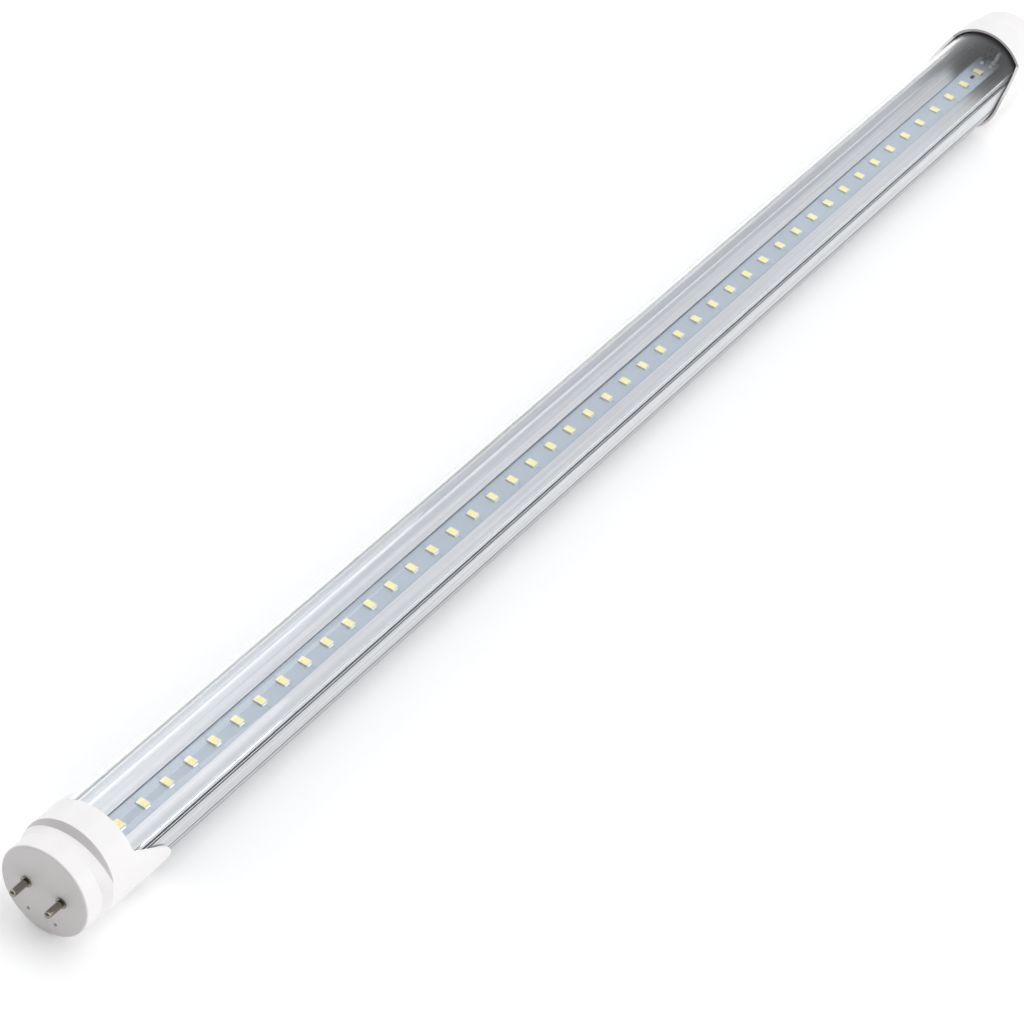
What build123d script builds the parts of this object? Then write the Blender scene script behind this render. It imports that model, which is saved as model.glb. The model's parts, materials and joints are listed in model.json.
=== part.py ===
from build123d import *
import os
from math import cos, radians, sin

# ---------------------------------------------------------------------------
# LED light tube, two-foot bi-pin class, in millimetres.
# X runs along the tube, +Z is the way the light leaves, and the origin is on
# the tube's axis at half its length.
# ---------------------------------------------------------------------------

# Whole lamp
body_length = 588.0         # from pin face to pin face
tube_radius = 15.4          # outside of the cover and the heatsink
tube_inset = 13.5           # from a pin face to the end of the tube

# Contact pins, two at each end
pin_radius = 1.175
pin_length = 7.0
pin_tip_round = 1.0
pin_collar_radius = 1.85    # the disc at the pin's foot, on the face
pin_collar_thickness = 0.45
pin_neck_radius = 1.0       # where the pin passes through the face
pin_spacing = 12.7
pin_z = -0.95               # the pins sit a little behind the tube's axis
pin_tail = 5.0              # how deep a pin reaches behind the pin face
pin_tail_radius = 0.8
pin_flange_radius = 2.1
pin_flange_thickness = 0.6

# Clear cover
cover_wall = 1.2
seam_z = 4.5                # height of the joint between cover and heatsink
seam_gap = 0.05
cover_bead_height = 1.3
tongue_inner_radius = 13.75
tongue_outer_radius = 14.5
tongue_depth = 2.1
groove_clearance = 0.1

# Heatsink extrusion
wing_z = 0.4                # top of the two wings beside the board
wing_bottom_z = -0.8
wing_half_width = 11.6      # where a wing meets its upstand
upstand_top_half_width = 12.3
wing_fillet = 0.7
floor_bottom_z = -2.6
floor_half_width = 6.5
cavity_radius = 14.2
rib_groove_width = 0.8
rib_groove_depth = 0.45
rib_groove_start = 97.0     # degrees round from +Z to the first groove
rib_groove_count = 21

# LED board
board_width = 10.0
board_thickness = 1.0
board_top_z = -0.2
board_end_gap = 0.6         # from the tube's end to the board's end
board_side_clearance = 0.1
board_window_half_width = 4.6
tape_thickness = 0.15

# LEDs
led_count = 48
led_pitch = 11.5
led_row_shift = -1.35       # the row sits a little towards the near cap
led_length = 2.8            # along the tube
led_width = 3.5             # across the tube
led_height = 0.7
led_window_length = 2.2
led_window_width = 2.75
led_window_depth = 0.35
chip_resistor_size = (2.0, 1.25, 0.5)
chip_resistor_offset = 4.4  # from the last LED, towards the one before

# End caps, measured along the lamp from the pin face
face_thickness = 2.0
drum_radius = 15.7
drum_cavity_radius = 13.9
flare_start = 6.8           # where the drum's sides begin to widen
flare_end = 10.5            # where they reach the sleeve's radius
step_start = 9.9            # foot of the step between the drum's top and the sleeve
step_length = 2.2
step_rise = 2.5             # how far the step's slope climbs over its length
relief_start = 6.7
relief_growth = 0.53        # how fast the drum widens below its level top, per mm
sleeve_radius = 16.8
socket_radius = 15.8
socket_start = 12.4
sleeve_end = 21.8           # the sleeve's edge over the cover
skirt_end = 38.3            # the skirt's edge over the heatsink
skirt_corner = (sleeve_end, 8.3)  # along the lamp, and height, where the slope starts
skirt_slope_end = (33.5, 2.6)
skirt_round_end = (skirt_end, -3.4)
pin_hole_clearance = 0.025
face_edge_round = 0.7
vent_radius = 0.6           # two small holes low on the pin face
vent_y = 5.0
vent_z = -11.1

# Cap screws, countersunk, two at the back of each cap
screw_distance = 30.5       # from the pin face
screw_angle = 35.0          # degrees either side of straight down
screw_head_radius = 2.3
screw_head_height = 1.2
screw_sink = 0.15           # how far the head lies under the skirt's surface
screw_radius = 1.2
screw_length = 5.0
screw_clearance = 0.05
screw_recess_depth = 0.6

# Rubber end seals
seal_start = 12.5
seal_flange = 0.9
seal_end = 20.6
seal_inner_radius = 15.42
seal_outer_radius = 15.76

# Driver, in the heatsink's hollow at the far end
driver_start = 42.0         # from the far pin face
driver_length = 148.0
driver_width = 17.0
driver_thickness = 1.0
driver_top_z = -8.6
sleeve_margin = 2.0
driver_sleeve_radius = 13.6
driver_sleeve_wall = 0.3
driver_sleeve_top_z = -3.1
cutout_clearance = 0.4

# Wires
wire_radius = 0.75
dc_wire_y = 1.9
ac_pad_y = 5.2
solder_radius = 1.0
solder_height = 0.9

# Derived values
half_length = body_length / 2
tube_length = body_length - 2 * tube_inset
board_length = tube_length - 2 * board_end_gap
board_bottom_z = board_top_z - board_thickness
slot_bottom_z = board_bottom_z - tape_thickness
led_first_x = led_row_shift - led_pitch * (led_count - 1) / 2
led_last_x = led_first_x + led_pitch * (led_count - 1)
wire_on_driver_z = driver_top_z + wire_radius + 0.03
wire_end = driver_start + 2.4


def box(x_range, y_range, z_range):
    """A block between two corners."""
    size = [high - low for low, high in (x_range, y_range, z_range)]
    middle = [(high + low) / 2 for low, high in (x_range, y_range, z_range)]
    return Pos(*middle) * Box(*size)


def rod_x(radius, start, end, y=0.0, z=0.0):
    """A round bar along X from start to end."""
    disc = Plane((start, y, z), x_dir=(0, 1, 0), z_dir=(1, 0, 0)) * Circle(radius)
    return extrude(disc, end - start)


def rod_z(radius, start, end, x=0.0, y=0.0):
    """A round bar along Z from start to end."""
    return extrude(Plane((x, y, start)) * Circle(radius), end - start)


def section(shape, length):
    """A YZ section drawn about the tube's axis, made into a bar centred on X = 0."""
    return extrude(Plane.YZ.offset(-length / 2) * shape, length)


def band(low_z, high_z, half_width=40.0):
    """A flat band of a section between two heights."""
    return Pos(0, (low_z + high_z) / 2) * Rectangle(2 * half_width, high_z - low_z)


def ring(inner, outer):
    return Circle(outer) - Circle(inner)


def at_near(shape):
    """Moves a piece drawn from its pin face to the near end."""
    return Pos(-half_length, 0, 0) * shape


def at_far(shape):
    """The same for the far end, turned round so that it faces the other way."""
    return Pos(half_length, 0, 0) * Rot(0, 0, 180) * shape


def wire(points, radii, radius):
    """A wire along straight runs joined by arcs."""
    path = FilletPolyline(*points, radius=radii)
    start = Plane(path @ 0, z_dir=path % 0)
    return sweep(start * Circle(radius), path=path)


# --- Tube --------------------------------------------------------------------

def make_cover():
    """Clear cover: an arc with a bead and a tongue along each edge."""
    low = seam_z + seam_gap
    wall = ring(tube_radius - cover_wall, tube_radius) & band(low, 40)
    bead = ring(tongue_inner_radius, tube_radius) & band(low, low + cover_bead_height)
    tongue = ring(tongue_inner_radius, tongue_outer_radius) & band(low - tongue_depth, low)
    return section(wall + bead + tongue, tube_length)


def board_channel():
    """The open channel above the wings, with the slot that holds the board."""
    edge = [
        (upstand_top_half_width, seam_z + 1),
        (upstand_top_half_width, seam_z),
        (wing_half_width, wing_z),
        (-wing_half_width, wing_z),
        (-upstand_top_half_width, seam_z),
        (-upstand_top_half_width, seam_z + 1),
    ]
    channel = make_face(Polyline(*edge, close=True))
    corners = [v for v in channel.vertices() if abs(v.Y - wing_z) < 0.01]
    channel = fillet(corners, wing_fillet)
    window = band(board_top_z, wing_z + 0.5, board_window_half_width)
    slot_half = board_width / 2 + board_side_clearance
    slot = band(slot_bottom_z, board_top_z + 0.05, slot_half)
    return channel + window + slot


def driver_hollow():
    """The hollow behind the board, deeper beside the thick floor."""
    middle = Circle(cavity_radius) & band(-40, floor_bottom_z)
    sides = Circle(cavity_radius) & band(-40, wing_bottom_z)
    sides = sides - band(floor_bottom_z, 40, floor_half_width)
    return middle + sides


def rib_grooves():
    """Grooves round the back of the extrusion, which leave cooling ribs between them."""
    step = (360 - 2 * rib_groove_start) / (rib_groove_count - 1)
    groove = Rectangle(rib_groove_depth * 2, rib_groove_width)
    grooves = [
        Rot(0, 0, 90 - rib_groove_start - step * index) * Pos(tube_radius, 0) * groove
        for index in range(rib_groove_count)
    ]
    return Sketch() + grooves


def screw_places():
    """The four cap screws: each place is on the tube's outside, pointing outwards."""
    places = []
    for turn in (-screw_angle, screw_angle):
        outwards = (0, sin(radians(turn)), -cos(radians(turn)))
        places.append(outwards)
    return places


def screw_plane(outwards, radius):
    origin = (screw_distance, outwards[1] * radius, outwards[2] * radius)
    return Plane(origin, x_dir=(1, 0, 0), z_dir=outwards)


def make_heatsink():
    """Aluminium extrusion with its cover grooves, and holes for the cap screws."""
    outline = Circle(tube_radius) & band(-40, seam_z)
    cover_groove = ring(tongue_inner_radius - groove_clearance, tongue_outer_radius + groove_clearance)
    cover_groove = cover_groove & band(seam_z - tongue_depth - groove_clearance, 40)
    profile = outline - board_channel() - driver_hollow() - rib_grooves() - cover_groove
    body = section(profile, tube_length)
    for outwards in screw_places():
        hole = screw_plane(outwards, cavity_radius - 2) * Circle(screw_radius + screw_clearance)
        hole = extrude(hole, 6)
        body = body - at_near(hole) - at_far(hole)
    return body


# --- LED board -----------------------------------------------------------------

def make_board():
    half = board_length / 2
    return box((-half, half), (-board_width / 2, board_width / 2), (board_bottom_z, board_top_z))


def make_tape():
    half = board_length / 2 - 2
    width = board_width / 2 - 0.5
    return box((-half, half), (-width, width), (slot_bottom_z, board_bottom_z))


def led_places():
    return [led_first_x + led_pitch * index for index in range(led_count)]


def led_window(grow=0.0):
    """The cup in a package that holds the phosphor, wider at its mouth."""
    top = board_top_z + led_height
    mouth = RectangleRounded(led_window_length + grow, led_window_width + grow, 0.4)
    floor = RectangleRounded(led_window_length - 0.3 + grow, led_window_width - 0.3 + grow, 0.3)
    return loft([Plane((0, 0, top - led_window_depth)) * floor, Plane((0, 0, top)) * mouth])


def make_packages():
    """White package frames, one solid for each LED."""
    top = board_top_z + led_height
    frame = box((-led_length / 2, led_length / 2), (-led_width / 2, led_width / 2), (board_top_z, top))
    frame = chamfer(frame.edges().filter_by(Axis.Z).sort_by(Axis.X)[-1:], 0.35)
    frame = frame - led_window()
    return Compound([Pos(x, 0, 0) * frame for x in led_places()])


def make_phosphors():
    return Compound([Pos(x, 0, 0) * led_window() for x in led_places()])


def make_chip_resistor():
    length, width, height = chip_resistor_size
    chip = Pos(led_last_x - chip_resistor_offset, 0, board_top_z + height / 2)
    body = Box(length, width, height)
    return chip * chamfer(body.edges(), 0.08)


# --- End caps --------------------------------------------------------------------

def cap_circle(distance, radius, z=0.0):
    return Plane((distance, 0, z), x_dir=(0, 1, 0), z_dir=(1, 0, 0)) * Circle(radius)


def cap_outside():
    """The cap's outer form: a drum whose sides widen into a larger sleeve.

    The drum's top stays level, so that it meets the sleeve in a step, highest on
    the cover side, which dies away down both sides.
    """
    drum_edge = cap_circle(flare_start, drum_radius, pin_z)
    sleeve_edge = cap_circle(flare_end, sleeve_radius)
    flare = loft([drum_edge, sleeve_edge], ruled=True)
    wide = rod_x(drum_radius, 0, flare_start, z=pin_z) + flare
    wide = wide + rod_x(sleeve_radius, flare_end, skirt_end)
    step_end = step_start + step_length
    growth = relief_growth * (step_end - relief_start)
    low_end = cap_circle(step_end, drum_radius + growth, pin_z - growth)
    low = loft([cap_circle(relief_start, drum_radius, pin_z), low_end], ruled=True)
    step_foot = cap_circle(step_start, drum_radius, pin_z)
    step = loft([step_foot, cap_circle(step_end, drum_radius + step_rise, pin_z)], ruled=True)
    relief = rod_x(sleeve_radius + 5, relief_start, step_end) - low
    return wide - (relief - step)


def skirt_side_view():
    """Side view of the kept cap: short over the cover, long over the heatsink."""
    corner = skirt_corner
    slope_end = skirt_slope_end
    round_end = skirt_round_end
    slope = (slope_end[0] - corner[0], 0, slope_end[1] - corner[1])
    outline = [
        Line((-1, 0, 30), (corner[0], 0, 30)),
        Line((corner[0], 0, 30), (corner[0], 0, corner[1])),
        Line((corner[0], 0, corner[1]), (slope_end[0], 0, slope_end[1])),
        TangentArc((slope_end[0], 0, slope_end[1]), (round_end[0], 0, round_end[1]), tangent=slope),
        Line((round_end[0], 0, round_end[1]), (round_end[0], 0, -30)),
        Line((round_end[0], 0, -30), (-1, 0, -30)),
        Line((-1, 0, -30), (-1, 0, 30)),
    ]
    return make_face(outline)


def pin_places():
    return [-pin_spacing / 2, pin_spacing / 2]


def make_cap():
    """White end cap, drawn from its pin face at X = 0 along +X."""
    side = extrude(skirt_side_view(), 30, both=True)
    cap = cap_outside() & side
    rim = cap.edges().group_by(Axis.X)[0]
    cap = fillet(rim, face_edge_round)
    cap = cap - rod_x(drum_cavity_radius, face_thickness, socket_start + 0.1, z=pin_z)
    cap = cap - rod_x(socket_radius, socket_start, skirt_end + 1)
    for y in pin_places():
        cap = cap - rod_x(pin_neck_radius + pin_hole_clearance, -1, face_thickness + 1, y, pin_z)
    for y in (-vent_y, vent_y):
        cap = cap - rod_x(vent_radius, -1, face_thickness + 1, y, vent_z)
    for outwards in screw_places():
        cap = cap - screw_hole(outwards)
    return cap


def screw_hole(outwards):
    """A countersunk hole through the skirt, with the screw head's own slope."""
    gap = 2 * screw_clearance
    foot = sleeve_radius - screw_sink - screw_head_height
    height = screw_head_height + 0.5
    growth = (screw_head_radius - screw_radius) / screw_head_height * height
    cone = loft([
        screw_plane(outwards, foot) * Circle(screw_radius + gap),
        screw_plane(outwards, foot + height) * Circle(screw_radius + gap + growth),
    ])
    shank = extrude(screw_plane(outwards, socket_radius - 1) * Circle(screw_radius + gap), 3)
    return cone + shank


def make_screw(outwards):
    """A countersunk self-tapping screw with a cross recess."""
    top = sleeve_radius - screw_sink
    head = loft([
        screw_plane(outwards, top - screw_head_height) * Circle(screw_radius),
        screw_plane(outwards, top) * Circle(screw_head_radius),
    ])
    straight = screw_length - 1.5
    shank_plane = screw_plane(outwards, top - screw_head_height - straight)
    shank = extrude(shank_plane * Circle(screw_radius), straight)
    tip = loft([
        screw_plane(outwards, top - screw_head_height - screw_length) * Circle(0.3),
        shank_plane * Circle(screw_radius),
    ])
    arm = screw_plane(outwards, top - screw_recess_depth)
    recess = extrude(arm * Rectangle(2.4, 0.55), 2) + extrude(arm * Rectangle(0.55, 2.4), 2)
    return head + shank + tip - recess


def make_pin(y):
    """A contact pin with a round tip, a collar, a neck through the face, a flange and a tail."""
    pin = rod_x(pin_radius, -pin_length, -0.01, y, pin_z)
    pin = fillet(pin.edges().group_by(Axis.X)[0], pin_tip_round)
    collar = rod_x(pin_collar_radius, -pin_collar_thickness, -0.01, y, pin_z)
    neck = rod_x(pin_neck_radius, -0.02, face_thickness + 0.02, y, pin_z)
    flange_end = face_thickness + 0.01 + pin_flange_thickness
    flange = rod_x(pin_flange_radius, face_thickness + 0.01, flange_end, y, pin_z)
    tail = rod_x(pin_tail_radius, flange_end, pin_tail, y, pin_z)
    return pin + collar + neck + flange + tail


def make_seal():
    """Rubber seal: a thin collar round the tube's end, with a web that closes it."""
    collar = rod_x(seal_outer_radius, seal_start, seal_end)
    collar = collar - rod_x(seal_inner_radius, seal_start + seal_flange, seal_end + 1)
    upper = box((seal_start - 1, seal_start + 3), (-3.6, 3.6), (0.5, 4.6))
    lower = box((seal_start - 1, seal_start + 3), (-7.6, 7.6), (-10.0, -4.2))
    return collar - upper - lower


# --- Driver ------------------------------------------------------------------------

def make_driver_sleeve():
    """Insulating sleeve round the driver, with the hollow's half-round section."""
    outer = Circle(driver_sleeve_radius) & band(-40, driver_sleeve_top_z)
    inner = Circle(driver_sleeve_radius - driver_sleeve_wall)
    inner = inner & band(-40, driver_sleeve_top_z - driver_sleeve_wall)
    tube = section(outer - inner, driver_length + 2 * sleeve_margin)
    return Pos(half_length - driver_start - driver_length / 2, 0, 0) * tube


def driver_x(distance):
    """Place along X of a point so far from the driver board's far end."""
    return half_length - driver_start - distance


def lying_can(distance, length, radius, z, y=0.0):
    """A capacitor can lying along the board."""
    return rod_x(radius, driver_x(distance + length), driver_x(distance), y, z)


input_can = dict(distance=38.0, length=15.0, radius=4.0, z=-7.7)
output_can = dict(distance=118.0, length=12.0, radius=3.15, z=-7.0)
transformer_x = (70.0, 84.0)    # from the driver board's far end
transformer_half_width = 5.0
transformer_z = (-11.4, -3.7)


def can_cutout(can):
    edge = can["radius"] + cutout_clearance
    start = driver_x(can["distance"] + can["length"]) - cutout_clearance
    end = driver_x(can["distance"]) + cutout_clearance
    return box((start, end), (-edge, edge), (-20, 0))


def make_driver_board():
    top = driver_top_z
    half = driver_width / 2
    ends = (driver_x(driver_length), driver_x(0))
    board = box(ends, (-half, half), (top - driver_thickness, top))
    board = board - can_cutout(input_can) - can_cutout(output_can)
    edge = transformer_half_width + cutout_clearance
    ends = (driver_x(transformer_x[1]) - cutout_clearance, driver_x(transformer_x[0]) + cutout_clearance)
    return board - box(ends, (-edge, edge), (-20, 0))


def make_can(can):
    """An electrolytic capacitor: a rounded can and its two bent leads."""
    body = lying_can(**can)
    body = fillet(body.edges().filter_by(GeomType.CIRCLE), 0.5)
    lead_x = driver_x(can["distance"])
    leads = [
        wire(
            [
                (lead_x - 0.3, side, can["z"]),
                (lead_x + 2.0, side, can["z"]),
                (lead_x + 2.0, side, driver_top_z + 0.02),
            ],
            0.6,
            0.3,
        )
        for side in (-1.25, 1.25)
    ]
    return body + leads


def make_transformer_core():
    """A ferrite core: two end bars, two side bars and a round middle leg."""
    start, end = driver_x(transformer_x[1]), driver_x(transformer_x[0])
    low, high = transformer_z
    edge = transformer_half_width
    core = box((start, end), (-edge, edge), (low + 1.6, high - 1.6))
    core = core - box((start + 2, end - 2), (-edge + 1.3, edge - 1.3), (-20, 0))
    middle = (low + high) / 2
    return core + rod_x(1.3, start + 1, end - 1, z=middle)


def make_transformer_winding():
    start, end = driver_x(transformer_x[1]), driver_x(transformer_x[0])
    middle = sum(transformer_z) / 2
    winding = rod_x(3.0, start + 3.1, end - 3.1, z=middle)
    return winding - rod_x(1.85, start, end, z=middle)


def make_transformer_bobbin():
    start, end = driver_x(transformer_x[1]), driver_x(transformer_x[0])
    middle = sum(transformer_z) / 2
    barrel = rod_x(1.8, start + 2.1, end - 2.1, z=middle)
    for place in (start + 2.1, end - 3.0):
        barrel = barrel + rod_x(3.5, place, place + 0.9, z=middle)
    return barrel - rod_x(1.4, start, end, z=middle)


choke_distance = 27.0
choke_y = -2.5


def make_choke_core():
    """A drum core standing on the board."""
    base = driver_top_z + 0.02
    x = driver_x(choke_distance)
    core = rod_z(3.8, base, base + 1.0, x, choke_y) + rod_z(1.6, base, base + 4.8, x, choke_y)
    return core + rod_z(3.8, base + 3.8, base + 4.8, x, choke_y)


def make_choke_winding():
    base = driver_top_z + 0.02
    x = driver_x(choke_distance)
    winding = rod_z(3.2, base + 1.05, base + 3.75, x, choke_y)
    return winding - rod_z(1.65, base, base + 6, x, choke_y)


def on_driver(distance, y, size, edge=0.2):
    """A moulded block standing on the driver board."""
    length, width, height = size
    place = Pos(driver_x(distance), y, driver_top_z + height / 2)
    return place * chamfer(Box(*size).edges().group_by(Axis.Z)[-1], edge)


def make_film_capacitor():
    return on_driver(12.0, -3.8, (10.0, 4.2, 5.0), 0.4)


def make_fuse():
    """An axial fusible resistor lying on the board."""
    z = driver_top_z + 1.5
    y = 3.6
    body = rod_x(1.4, driver_x(17.0), driver_x(8.0), y, z)
    body = fillet(body.edges().filter_by(GeomType.CIRCLE), 0.5)
    leads = [
        wire(
            [
                (driver_x(12.5) + side * 4.4, y, z),
                (driver_x(12.5) + side * 6.2, y, z),
                (driver_x(12.5) + side * 6.2, y, driver_top_z + 0.02),
            ],
            0.6,
            0.3,
        )
        for side in (-1, 1)
    ]
    return body + leads


def make_rectifier():
    return on_driver(27.0, 5.2, (4.8, 4.0, 2.5))


def make_controller():
    return on_driver(62.0, 0.0, (4.9, 3.9, 1.5))


def make_diode():
    return on_driver(100.0, 4.0, (4.4, 2.6, 2.1))


def make_driver_chips():
    """Chip resistors and capacitors along the driver board, one solid each."""
    places = [(60, 5.5), (64, 5.5), (60, -5.5), (64, -5.5), (92, -4), (92, 0), (96, -4)]
    places += [(104, -4), (108, -4), (112, 5.5), (112, -5.5), (138, 5), (138, -5), (142, 5)]
    return Compound([on_driver(distance, y, (2.0, 1.25, 0.5), 0.08) for distance, y in places])


# --- Wires and solder ----------------------------------------------------------------

def make_ac_wire(side):
    """Mains wire from a far pin's tail back to the driver."""
    y = side * pin_spacing / 2
    points = [
        (pin_tail + 0.05, y, pin_z),
        (pin_tail + 3.2, y, pin_z),
        (12.0, y * 0.98, -7.0),
        (24.0, side * 5.4, -7.3),
        (driver_start - 2.0, side * ac_pad_y, wire_on_driver_z),
        (wire_end, side * ac_pad_y, wire_on_driver_z),
    ]
    return at_far(wire(points, [1.4, 2.6, 6.0, 3.0], wire_radius))


def make_dc_wire(side):
    """Output wire from the driver, round inside the far cap, to the LED board's pad."""
    y = side * dc_wire_y
    points = [
        (16.6, y, 0.62),
        (14.6, y, 0.75),
        (12.6, y, 2.7),
        (7.2, y, 3.3),
        (4.6, y, -2.0),
        (8.0, y, -7.0),
        (14.0, y, -7.4),
        (driver_start - 2.0, y, wire_on_driver_z),
        (wire_end, y, wire_on_driver_z),
    ]
    return at_far(wire(points, [1.2, 1.4, 2.2, 2.6, 2.6, 5.0, 3.0], wire_radius))


def solder_dome(distance, y, z):
    """A dome of solder, drawn from the far pin face."""
    foot = Plane((distance, y, z)) * Circle(solder_radius)
    top = Plane((distance, y, z + solder_height)) * Circle(solder_radius * 0.4)
    return at_far(loft([foot, top]))


def make_board_solder():
    """The two joints where the output wires meet the LED board."""
    return Compound([solder_dome(17.8, side * dc_wire_y, board_top_z) for side in (-1, 1)])


def make_driver_solder():
    """The four joints where wires meet the driver board."""
    places = [-ac_pad_y, -dc_wire_y, dc_wire_y, ac_pad_y]
    distance = wire_end + solder_radius + 0.05
    return Compound([solder_dome(distance, y, driver_top_z) for y in places])


def make_link_fuse():
    """The fused link that joins the two near pins."""
    reach = pin_spacing / 2
    x = pin_tail + 1.3
    body = extrude(Plane((x, -3, pin_z), x_dir=(1, 0, 0), z_dir=(0, 1, 0)) * Circle(1.3), 6)
    body = fillet(body.edges().filter_by(GeomType.CIRCLE), 0.4)
    leads = []
    for side in (-1, 1):
        bend = (x, side * reach, pin_z)
        tail = (pin_tail + 0.02, side * reach, pin_z)
        leads.append(wire([(x, side * 2.9, pin_z), bend, tail], 0.6, 0.35))
    return at_near(body + leads)


# --- Output ---------------------------------------------------------------------------

def make_nodes():
    cap = make_cap()
    seal = make_seal()
    screws = [make_screw(outwards) for outwards in screw_places()]
    nodes = {
        "heatsink_profile": make_heatsink(),
        "clear_cover": make_cover(),
        "led_board": make_board(),
        "thermal_tape": make_tape(),
        "led_packages": make_packages(),
        "led_phosphors": make_phosphors(),
        "board_resistor": make_chip_resistor(),
        "board_solder": make_board_solder(),
        "driver_solder": make_driver_solder(),
        "end_cap_near": at_near(cap),
        "end_cap_far": at_far(cap),
        "end_seal_near": at_near(seal),
        "end_seal_far": at_far(seal),
        "cap_screws_near": Compound([at_near(screw) for screw in screws]),
        "cap_screws_far": Compound([at_far(screw) for screw in screws]),
        "driver_sleeve": make_driver_sleeve(),
        "driver_board": make_driver_board(),
        "input_capacitor": make_can(input_can),
        "output_capacitor": make_can(output_can),
        "transformer_core": make_transformer_core(),
        "transformer_bobbin": make_transformer_bobbin(),
        "transformer_winding": make_transformer_winding(),
        "choke_core": make_choke_core(),
        "choke_winding": make_choke_winding(),
        "film_capacitor": make_film_capacitor(),
        "driver_fuse": make_fuse(),
        "bridge_rectifier": make_rectifier(),
        "driver_controller": make_controller(),
        "output_diode": make_diode(),
        "driver_chips": make_driver_chips(),
        "near_link_fuse": make_link_fuse(),
    }
    for y, name in zip(pin_places(), ("right", "left")):
        nodes["contact_pin_near_" + name] = at_near(make_pin(y))
        nodes["contact_pin_far_" + name] = at_far(make_pin(y))
    for side, name in ((-1, "live"), (1, "neutral")):
        nodes["ac_wire_" + name] = make_ac_wire(side)
    for side, name in ((-1, "negative"), (1, "positive")):
        nodes["dc_wire_" + name] = make_dc_wire(side)
    return nodes


os.makedirs("parts", exist_ok=True)
for node_name, shape in make_nodes().items():
    export_step(shape, f"parts/{node_name}.step")
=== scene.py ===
import json
from math import radians, tau

import bmesh
import bpy
from mathutils import Matrix, Vector


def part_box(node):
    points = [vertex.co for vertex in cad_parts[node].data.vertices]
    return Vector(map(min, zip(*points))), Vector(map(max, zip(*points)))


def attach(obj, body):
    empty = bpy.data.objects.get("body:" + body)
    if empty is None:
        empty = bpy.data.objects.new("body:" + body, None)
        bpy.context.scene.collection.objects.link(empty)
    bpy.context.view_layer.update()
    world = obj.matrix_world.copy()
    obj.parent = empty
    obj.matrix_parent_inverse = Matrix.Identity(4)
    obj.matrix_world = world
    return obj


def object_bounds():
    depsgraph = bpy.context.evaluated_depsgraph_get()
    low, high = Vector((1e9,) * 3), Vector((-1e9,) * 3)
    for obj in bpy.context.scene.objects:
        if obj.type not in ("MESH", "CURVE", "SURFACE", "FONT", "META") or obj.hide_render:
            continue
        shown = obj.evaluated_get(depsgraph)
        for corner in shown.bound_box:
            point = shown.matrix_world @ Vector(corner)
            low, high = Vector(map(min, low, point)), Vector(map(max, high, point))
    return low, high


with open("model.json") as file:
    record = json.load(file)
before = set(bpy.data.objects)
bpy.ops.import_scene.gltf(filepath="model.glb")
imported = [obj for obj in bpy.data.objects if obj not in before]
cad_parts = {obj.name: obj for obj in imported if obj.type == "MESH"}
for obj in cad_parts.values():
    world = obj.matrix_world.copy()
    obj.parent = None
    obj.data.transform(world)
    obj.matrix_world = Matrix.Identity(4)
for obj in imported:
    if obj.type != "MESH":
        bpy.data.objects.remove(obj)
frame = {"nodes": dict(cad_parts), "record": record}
cad_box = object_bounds()
nodes = frame["nodes"]

# Metres throughout, in the CAD's own frame: X along the tube, +Z the way the light leaves.
MM = 0.001

# The LED row and the board, taken from the frame
LED_COUNT = 48
LED_LENGTH = 2.8 * MM
led_low, led_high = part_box("led_packages")
LED_WIDTH = led_high.y - led_low.y
LED_PITCH = (led_high.x - led_low.x - LED_LENGTH) / (LED_COUNT - 1)
LED_FIRST = led_low.x + LED_LENGTH / 2
BOARD_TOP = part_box("led_board")[1].z

# The board's print and painted shade along its edges, in millimetres from its middle line, and in
# LED pitches from an LED
# A bare margin at each edge, darkened also as painted shade beside the heatsink's lips
MARGIN_SHADE_EDGE = (4.05, 4.15)
# Painted shadow: a dark line just inside the heatsink's lips
LIP_SHADE_EDGE = (4.3, 4.45)
GAP_EDGE = (0.015, 0.022)

# The solder at an LED's terminals
SOLDER_HALF_LENGTH = 1.05 * MM
SOLDER_FOOT = 0.38 * MM
SOLDER_RISE = 0.26 * MM
SOLDER_SAG = (0.45, 0.35)  # parts of the foot and the rise at which its face bends

TURN_PITCH = 0.32  # from one turn of a winding to the next, in millimetres

# Most noise lies in this range
NOISE_LOW = 0.3
NOISE_HIGH = 0.7
NOISE_ROUGHNESS = 0.55

# Stage
FLOOR_HALF_WIDTH = 6.0
LAMPS = {  # place, size and power
    "key": ((0.4, 1.8, 1.2), (2.4, 1.4), 11),
    "top": ((0.3, -0.5, 2.0), (2.0, 1.4), 12),
    "fill": ((0.3, -1.7, 0.9), (1.8, 1.2), 9),
}
STUDIO_FADE = {"From Min": -0.78, "From Max": 0.2, "To Min": 0.19, "To Max": 0.90}
CAMERA_PLACE = Vector((-0.921, -0.447, 0.826))
CAMERA_AIM = Vector((-0.0598, -0.0058, -0.0057))
CAMERA_ROLL = radians(10.3)
LENS_MM = 137.7
SENSOR_MM = 36


# --- Material building -------------------------------------------------------

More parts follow.
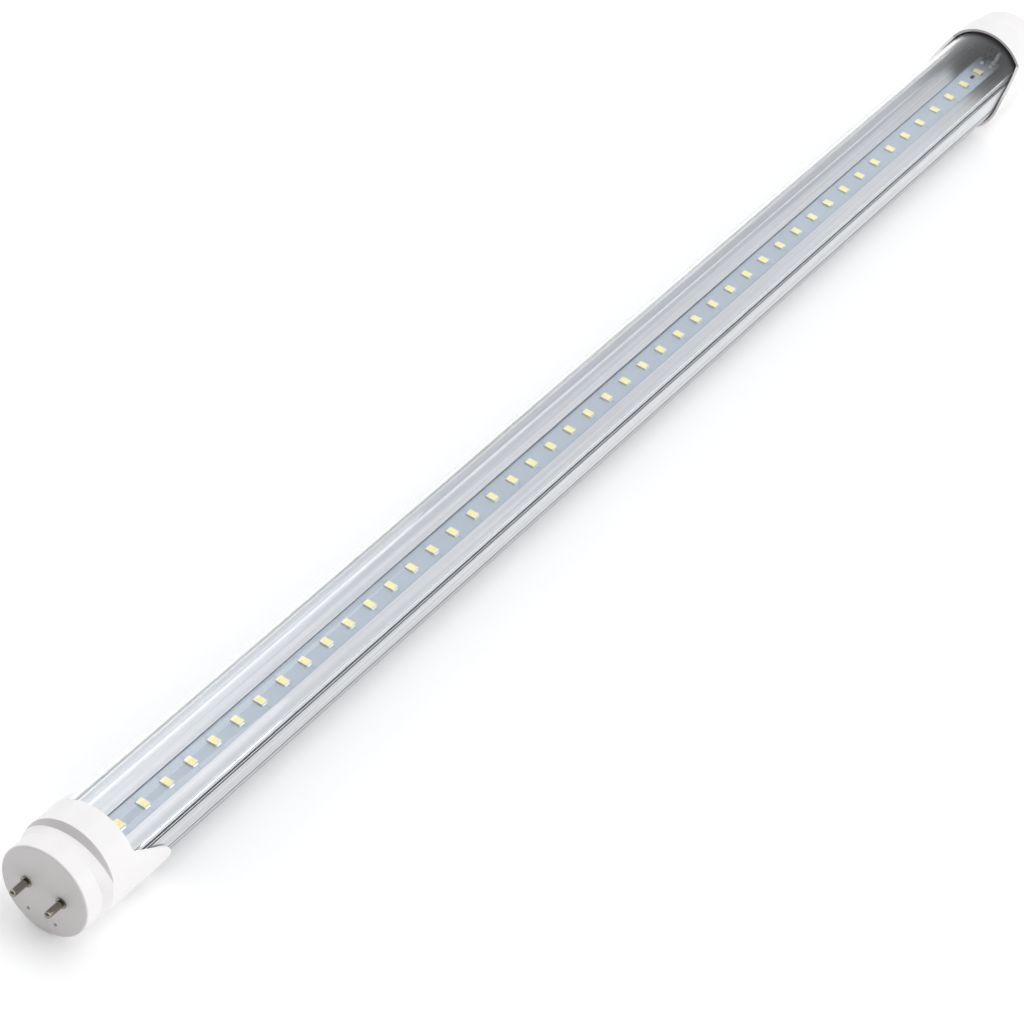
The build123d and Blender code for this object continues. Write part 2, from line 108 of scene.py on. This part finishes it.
class Look:
    """One node material: a Principled shader and short ways to add what feeds it."""

    def __init__(self, name, **sockets):
        self.material = bpy.data.materials.new(name)
        self.material.use_nodes = True
        self.tree = self.material.node_tree
        self.shader = self.tree.nodes["Principled BSDF"]
        self.output = self.tree.nodes["Material Output"]
        self.object_place = self.add("ShaderNodeTexCoord").outputs["Object"]
        for socket, value in sockets.items():
            self.shader.inputs[socket.replace("_", " ")].default_value = value

    def add(self, kind, **settings):
        """A new node of this kind."""
        node = self.tree.nodes.new(kind)
        for key, value in settings.items():
            setattr(node, key, value)
        return node

    def feed(self, socket, source):
        """Links source into socket, or sets the socket when source is a plain value."""
        if isinstance(source, bpy.types.NodeSocket):
            self.tree.links.new(source, socket)
        else:
            socket.default_value = source

    def math(self, operation, first, second=0.0):
        """The result of an operation on one or two values."""
        node = self.add("ShaderNodeMath", operation=operation)
        self.feed(node.inputs[0], first)
        self.feed(node.inputs[1], second)
        return node.outputs[0]

    def place(self, stretch=(1, 1, 1)):
        """The object's own coordinates in millimetres, each axis scaled by stretch."""
        node = self.add("ShaderNodeMapping")
        self.feed(node.inputs["Vector"], self.object_place)
        node.inputs["Scale"].default_value = [s / MM for s in stretch]
        return node.outputs["Vector"]

    def axes(self):
        """The object's own X, Y and Z in millimetres."""
        node = self.add("ShaderNodeSeparateXYZ")
        self.feed(node.inputs[0], self.place())
        return node.outputs

    def noise(self, scale, stretch=(1, 1, 1), detail=3.0):
        """Noise with about scale features to a millimetre."""
        node = self.add("ShaderNodeTexNoise")
        self.feed(node.inputs["Vector"], self.place(stretch))
        node.inputs["Scale"].default_value = scale
        node.inputs["Detail"].default_value = detail
        node.inputs["Roughness"].default_value = NOISE_ROUGHNESS
        return node.outputs["Fac"]

    def span(self, value, low, high, to_low=0.0, to_high=1.0):
        """Maps value from one range to another, and clamps it."""
        node = self.add("ShaderNodeMapRange")
        self.feed(node.inputs["Value"], value)
        ends = {"From Min": low, "From Max": high, "To Min": to_low, "To Max": to_high}
        for name, number in ends.items():
            node.inputs[name].default_value = number
        return node.outputs["Result"]

    def blend(self, amount, first, second):
        """Mixes two colours."""
        node = self.add("ShaderNodeMix", data_type="RGBA")
        self.feed(node.inputs["Factor"], amount)
        self.feed(node.inputs[6], first)
        self.feed(node.inputs[7], second)
        return node.outputs[2]

    def color(self, source):
        self.feed(self.shader.inputs["Base Color"], source)

    def roughness(self, source):
        self.feed(self.shader.inputs["Roughness"], source)

    def uneven_roughness(self, noise, smooth, rough):
        """Roughness that follows noise from smooth to rough."""
        self.roughness(self.span(noise, NOISE_LOW, NOISE_HIGH, smooth, rough))

    def bump(self, height, depth):
        """Adds relief of about depth, in metres, on top of any relief already there."""
        node = self.add("ShaderNodeBump")
        node.inputs["Strength"].default_value = 1.0
        node.inputs["Distance"].default_value = depth
        self.feed(node.inputs["Height"], height)
        normal = self.shader.inputs["Normal"]
        if normal.is_linked:
            self.feed(node.inputs["Normal"], normal.links[0].from_socket)
        self.feed(normal, node.outputs["Normal"])


def rgb(red, green, blue):
    """An opaque colour."""
    return (red, green, blue, 1.0)


def cap_plastic():
    """White satin moulding, a little wavy, with painted shade where it faces along the tube."""
    look = Look("cap_plastic", IOR=1.5, Subsurface_Weight=0.12, Subsurface_Scale=1.2 * MM)
    look.shader.inputs["Subsurface Radius"].default_value = (1.0, 0.7, 0.65)
    cloud = look.noise(0.12, detail=4)
    shell = look.blend(cloud, rgb(0.85, 0.825, 0.82), rgb(0.88, 0.865, 0.86))
    facing = look.add("ShaderNodeSeparateXYZ")
    look.feed(facing.inputs[0], look.add("ShaderNodeTexCoord").outputs["Normal"])
    # Painted shade: surfaces that face along the tube are darkened, standing in for the shade the
    # lamps leave on them.
    painted_end_shade = look.span(look.math("ABSOLUTE", facing.outputs["X"]), 0.35, 0.75, 0.0, 0.25)
    look.color(look.blend(painted_end_shade, shell, rgb(0.42, 0.36, 0.355)))
    look.uneven_roughness(look.noise(0.5), 0.30, 0.40)
    look.bump(look.noise(2.2, detail=2), 0.012 * MM)
    look.bump(look.noise(0.35, detail=1), 0.03 * MM)
    return look.material


def clear_polycarbonate():
    """Clear cover. Lamps shine straight through it, so the board inside is lit."""
    look = Look("clear_polycarbonate", Roughness=0.0, IOR=1.4, Transmission_Weight=1.0)
    look.shader.inputs["Base Color"].default_value = rgb(0.985, 0.992, 1.0)
    look.bump(look.noise(0.9, stretch=(0.004, 1, 1), detail=1), 0.01 * MM)
    look.bump(look.noise(0.05, detail=1), 0.02 * MM)
    see_through = look.add("ShaderNodeBsdfTransparent")
    see_through.inputs["Color"].default_value = rgb(0.93, 0.94, 0.95)
    lamp_ray = look.add("ShaderNodeLightPath").outputs["Is Shadow Ray"]
    mix = look.add("ShaderNodeMixShader")
    look.feed(mix.inputs["Fac"], lamp_ray)
    look.feed(mix.inputs[1], look.shader.outputs[0])
    look.feed(mix.inputs[2], see_through.outputs[0])
    look.feed(look.output.inputs["Surface"], mix.outputs[0])
    return look.material


def heatsink_aluminium():
    """Satin anodised extrusion, with die lines along its length."""
    look = Look("heatsink_aluminium", Metallic=1.0, Anisotropic=0.35)
    fine_lines = look.noise(5.0, stretch=(0.004, 1, 1), detail=3)
    broad_lines = look.noise(0.9, stretch=(0.006, 1, 1), detail=2)
    mottle = look.noise(0.25, detail=4)
    banding = look.span(broad_lines, 0.35, 0.65)
    tone = look.blend(banding, rgb(0.60, 0.61, 0.63), rgb(0.74, 0.75, 0.765))
    dulling = look.span(mottle, 0.35, 0.75, 0.0, 0.25)
    look.color(look.blend(dulling, tone, rgb(0.56, 0.57, 0.59)))
    line_grain = look.math("MULTIPLY", fine_lines, 0.12)
    grain = look.math("ADD", line_grain, look.math("MULTIPLY", mottle, 0.1))
    look.roughness(look.math("ADD", grain, 0.20))
    look.bump(fine_lines, 0.006 * MM)
    look.bump(broad_lines, 0.02 * MM)
    return look.material


def board_mask():
    """Pale solder mask over copper, darker over the bare gaps under the LEDs, darker along a bare
    margin at each edge that is also painted shade beside the heatsink's lips, and with a dark
    painted shadow line where the lips cover the edges.
    """
    look = Look("board_mask", IOR=1.5)
    x, y, _ = look.axes()
    from_first = look.math("SUBTRACT", x, LED_FIRST / MM)
    in_cell = look.math("FRACT", look.math("DIVIDE", from_first, LED_PITCH / MM))
    from_middle = look.math("ABSOLUTE", look.math("SUBTRACT", in_cell, 0.5))
    from_led = look.math("ABSOLUTE", look.math("SUBTRACT", from_middle, 0.5))
    gap = look.span(from_led, *GAP_EDGE, 1.0, 0.0)
    from_middle_line = look.math("ABSOLUTE", y)
    # The edge margin is bare mask and also painted shade beside the lips; the line after it is a
    # painted shadow of the lips' edges.
    margin_and_shade = look.span(from_middle_line, *MARGIN_SHADE_EDGE)
    lip_shade = look.span(from_middle_line, *LIP_SHADE_EDGE)
    bare_and_edge_shade = look.math("MAXIMUM", gap, margin_and_shade)
    copper = look.blend(look.noise(0.6, detail=4), rgb(0.37, 0.425, 0.49), rgb(0.43, 0.48, 0.54))
    mask = look.blend(look.math("MULTIPLY", bare_and_edge_shade, 0.6), copper, rgb(0.29, 0.34, 0.41))
    look.color(look.blend(lip_shade, mask, rgb(0.15, 0.17, 0.22)))
    look.uneven_roughness(look.noise(1.5), 0.30, 0.44)
    look.bump(look.math("SUBTRACT", 1.0, bare_and_edge_shade), 0.035 * MM)
    look.bump(look.noise(3.0, detail=2), 0.006 * MM)
    return look.material


def led_package():
    """Creamy white reflector plastic."""
    look = Look("led_package", IOR=1.5)
    look.color(look.blend(look.noise(1.5), rgb(0.76, 0.72, 0.52), rgb(0.84, 0.81, 0.66)))
    look.uneven_roughness(look.noise(4.0), 0.36, 0.5)
    look.bump(look.noise(6.0), 0.01 * MM)
    return look.material


def led_phosphor():
    """Yellow phosphor grains in clear silicone."""
    look = Look("led_phosphor", IOR=1.41, Subsurface_Weight=0.2, Subsurface_Scale=0.3 * MM)
    grains = look.noise(14.0, detail=2)
    look.color(look.blend(grains, rgb(0.80, 0.70, 0.24), rgb(0.90, 0.84, 0.42)))
    look.uneven_roughness(grains, 0.22, 0.36)
    look.bump(look.noise(5.0, detail=2), 0.02 * MM)
    return look.material


def metal(name, dark, light, rough, line_scale=6.0, stretch=(1, 1, 1)):
    """Bare or plated metal with fine marks."""
    look = Look(name, Metallic=1.0)
    marks = look.noise(line_scale, stretch=stretch, detail=3)
    look.color(look.blend(marks, dark, light))
    look.uneven_roughness(marks, rough - 0.06, rough + 0.08)
    look.bump(marks, 0.006 * MM)
    return look.material


def plain_plastic(name, dark, light, rough, scale=1.5, depth=0.01 * MM):
    """Moulded or dipped plastic with a slightly uneven colour and surface."""
    look = Look(name)
    look.color(look.blend(look.noise(scale), dark, light))
    look.uneven_roughness(look.noise(scale * 2), rough - 0.05, rough + 0.07)
    look.bump(look.noise(scale * 3), depth)
    return look.material


def copper_winding():
    """Enamelled copper, with one ridge for each turn."""
    look = Look("copper_winding", Metallic=1.0, Coat_Weight=0.6, Coat_Roughness=0.08)
    x, _, z = look.axes()
    turns = look.math("SINE", look.math("MULTIPLY", look.math("ADD", x, z), tau / TURN_PITCH))
    look.color(look.blend(look.noise(0.8), rgb(0.50, 0.18, 0.06), rgb(0.66, 0.27, 0.10)))
    look.roughness(look.span(turns, -1, 1, 0.3, 0.2))
    look.bump(turns, 0.06 * MM)
    return look.material


def driver_laminate():
    """Tan paper laminate with darker fibres."""
    look = Look("driver_laminate", Roughness=0.55)
    fibres = look.noise(1.4, stretch=(0.3, 1, 1), detail=5)
    look.color(look.blend(fibres, rgb(0.36, 0.22, 0.08), rgb(0.52, 0.35, 0.15)))
    look.bump(fibres, 0.02 * MM)
    return look.material


def make_materials():
    """Every material, by the name of its slot."""
    looks = {
        "cap_plastic": cap_plastic(),
        "clear_polycarbonate": clear_polycarbonate(),
        "heatsink_aluminium": heatsink_aluminium(),
        "board_mask": board_mask(),
        "led_package": led_package(),
        "led_phosphor": led_phosphor(),
        "copper_winding": copper_winding(),
        "driver_laminate": driver_laminate(),
    }
    # Name, dark and light tone, roughness, then the marks' scale and stretch where they differ
    metals = [
        ("pin_nickel", (0.21, 0.185, 0.16), (0.36, 0.33, 0.295), 0.16, 0.8, (0.3, 1, 1)),
        ("screw_steel", (0.50, 0.50, 0.51), (0.66, 0.66, 0.67), 0.3),
        ("solder", (0.62, 0.62, 0.64), (0.80, 0.80, 0.82), 0.26, 4.0),
    ]
    # Name, dark and light tone, roughness, then the surface's scale and depth where they differ
    plastics = [
        ("seal_rubber", (0.012, 0.012, 0.013), (0.03, 0.03, 0.032), 0.6),
        ("thermal_pad", (0.30, 0.32, 0.35), (0.40, 0.42, 0.45), 0.7, 3.0),
        ("chip_black", (0.012, 0.012, 0.014), (0.035, 0.035, 0.04), 0.45, 4.0),
        ("insulation_film", (0.78, 0.78, 0.74), (0.86, 0.86, 0.83), 0.3, 0.3),
        ("capacitor_sleeve", (0.01, 0.015, 0.04), (0.02, 0.03, 0.07), 0.25),
        ("film_capacitor_case", (0.30, 0.035, 0.015), (0.40, 0.06, 0.02), 0.2),
        ("ferrite", (0.03, 0.03, 0.033), (0.07, 0.07, 0.075), 0.5, 5.0, 0.02 * MM),
        ("bobbin_plastic", (0.02, 0.02, 0.02), (0.04, 0.04, 0.04), 0.4),
        ("fuse_body", (0.10, 0.26, 0.13), (0.17, 0.36, 0.20), 0.3),
        ("wire_white", (0.78, 0.78, 0.77), (0.86, 0.86, 0.85), 0.35),
        ("wire_black", (0.012, 0.012, 0.012), (0.03, 0.03, 0.03), 0.35),
        ("wire_brown", (0.09, 0.035, 0.012), (0.14, 0.06, 0.02), 0.35),
        ("wire_blue", (0.01, 0.05, 0.25), (0.02, 0.08, 0.35), 0.35),
    ]
    for name, dark, light, *surface in metals:
        looks[name] = metal(name, rgb(*dark), rgb(*light), *surface)
    for name, dark, light, *surface in plastics:
        looks[name] = plain_plastic(name, rgb(*dark), rgb(*light), *surface)
    return looks


def dress_cad_nodes(materials):
    """Gives every CAD node the detailed material of its slot in the record."""
    for entry in frame["record"]["subparts"]:
        slots = nodes[entry["node"]].data.materials
        slots.clear()
        slots.append(materials[entry["material_slot"]])


# --- Pieces ------------------------------------------------------------------

def new_piece(name, mesh_data, material):
    """Makes a piece of the lamp that rides on its one body."""
    mesh = bpy.data.meshes.new(name)
    mesh_data.normal_update()
    mesh_data.to_mesh(mesh)
    mesh_data.free()
    piece = bpy.data.objects.new(name, mesh)
    bpy.context.scene.collection.objects.link(piece)
    mesh.materials.append(material)
    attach(piece, "root")


def add_prism(work, corners, depth):
    """Adds a closed prism: corners is its outline, and depth moves it to its other end."""
    front = [work.verts.new(c) for c in corners]
    back = [work.verts.new(Vector(c) + depth) for c in corners]
    work.faces.new(front[::-1])
    work.faces.new(back)
    for i in range(len(corners)):
        j = (i + 1) % len(corners)
        work.faces.new((front[i], front[j], back[j], back[i]))


def solder_fillets(materials):
    """The small solder wedges along both terminals of every LED package."""
    work = bmesh.new()
    depth = Vector((2 * SOLDER_HALF_LENGTH, 0, 0))
    sag_foot, sag_rise = SOLDER_SAG
    for index in range(LED_COUNT):
        start = LED_FIRST + index * LED_PITCH - SOLDER_HALF_LENGTH
        for side in (-1, 1):
            wall = side * LED_WIDTH / 2
            outline = [
                (start, wall, BOARD_TOP),
                (start, wall + side * SOLDER_FOOT, BOARD_TOP),
                (start, wall + side * SOLDER_FOOT * sag_foot, BOARD_TOP + SOLDER_RISE * sag_rise),
                (start, wall, BOARD_TOP + SOLDER_RISE),
            ]
            if side > 0:
                outline.reverse()
            add_prism(work, outline, depth)
    new_piece("led_solder_fillets", work, materials["solder"])


# --- Stage -------------------------------------------------------------------

def make_floor():
    """A plain white floor for the tube to lie on, bright enough that its shadow stays soft."""
    work = bmesh.new()
    bmesh.ops.create_grid(work, x_segments=2, y_segments=2, size=FLOOR_HALF_WIDTH)
    mesh = bpy.data.meshes.new("floor")
    work.to_mesh(mesh)
    work.free()
    floor = bpy.data.objects.new("floor", mesh)
    floor.location.z = cad_box[0][2]
    bpy.context.scene.collection.objects.link(floor)
    look = Look("floor", Roughness=0.9, Emission_Color=rgb(1, 1, 1), Emission_Strength=0.13)
    look.color(look.blend(look.noise(0.004), rgb(0.92, 0.92, 0.92), rgb(0.94, 0.94, 0.94)))
    mesh.materials.append(look.material)


def add_light(name, place, size, power):
    """A soft rectangular light that faces the middle of the tube."""
    lamp = bpy.data.lights.new(name, "AREA")
    lamp.shape = "RECTANGLE"
    lamp.size, lamp.size_y = size
    lamp.energy = power
    holder = bpy.data.objects.new(name, lamp)
    holder.location = place
    holder.rotation_mode = "QUATERNION"
    holder.rotation_quaternion = (-Vector(place)).to_track_quat("-Z", "Y")
    bpy.context.scene.collection.objects.link(holder)


def make_lights():
    """Soft lamps, and a studio that is bright beyond the far end and dim beyond the near one."""
    for name, (place, size, power) in LAMPS.items():
        add_light(name, place, size, power)
    world = bpy.data.worlds.new("studio")
    world.use_nodes = True
    tree = world.node_tree
    direction = tree.nodes.new("ShaderNodeTexCoord")
    parts = tree.nodes.new("ShaderNodeSeparateXYZ")
    fade = tree.nodes.new("ShaderNodeMapRange")
    fade.interpolation_type = "SMOOTHSTEP"
    for name, number in STUDIO_FADE.items():
        fade.inputs[name].default_value = number
    background = tree.nodes["Background"]
    background.inputs["Color"].default_value = rgb(0.975, 0.985, 1.0)
    tree.links.new(direction.outputs["Generated"], parts.inputs[0])
    tree.links.new(parts.outputs["X"], fade.inputs["Value"])
    tree.links.new(fade.outputs["Result"], background.inputs["Strength"])
    bpy.context.scene.world = world


def make_camera():
    """Looks along the tube from above its near end, a little rolled."""
    camera = bpy.data.cameras.new("camera")
    camera.lens = LENS_MM
    camera.sensor_width = SENSOR_MM
    camera.clip_start = 0.05
    holder = bpy.data.objects.new("camera", camera)
    turn = (CAMERA_AIM - CAMERA_PLACE).to_track_quat("-Z", "Y").to_matrix().to_4x4()
    roll = Matrix.Rotation(CAMERA_ROLL, 4, "Z")
    holder.matrix_world = Matrix.Translation(CAMERA_PLACE) @ turn @ roll
    bpy.context.scene.collection.objects.link(holder)
    bpy.context.scene.camera = holder


# --- Making the scene --------------------------------------------------------

materials = make_materials()
dress_cad_nodes(materials)
solder_fillets(materials)
make_floor()
make_lights()
make_camera()
bpy.context.scene.view_settings.view_transform = "Standard"
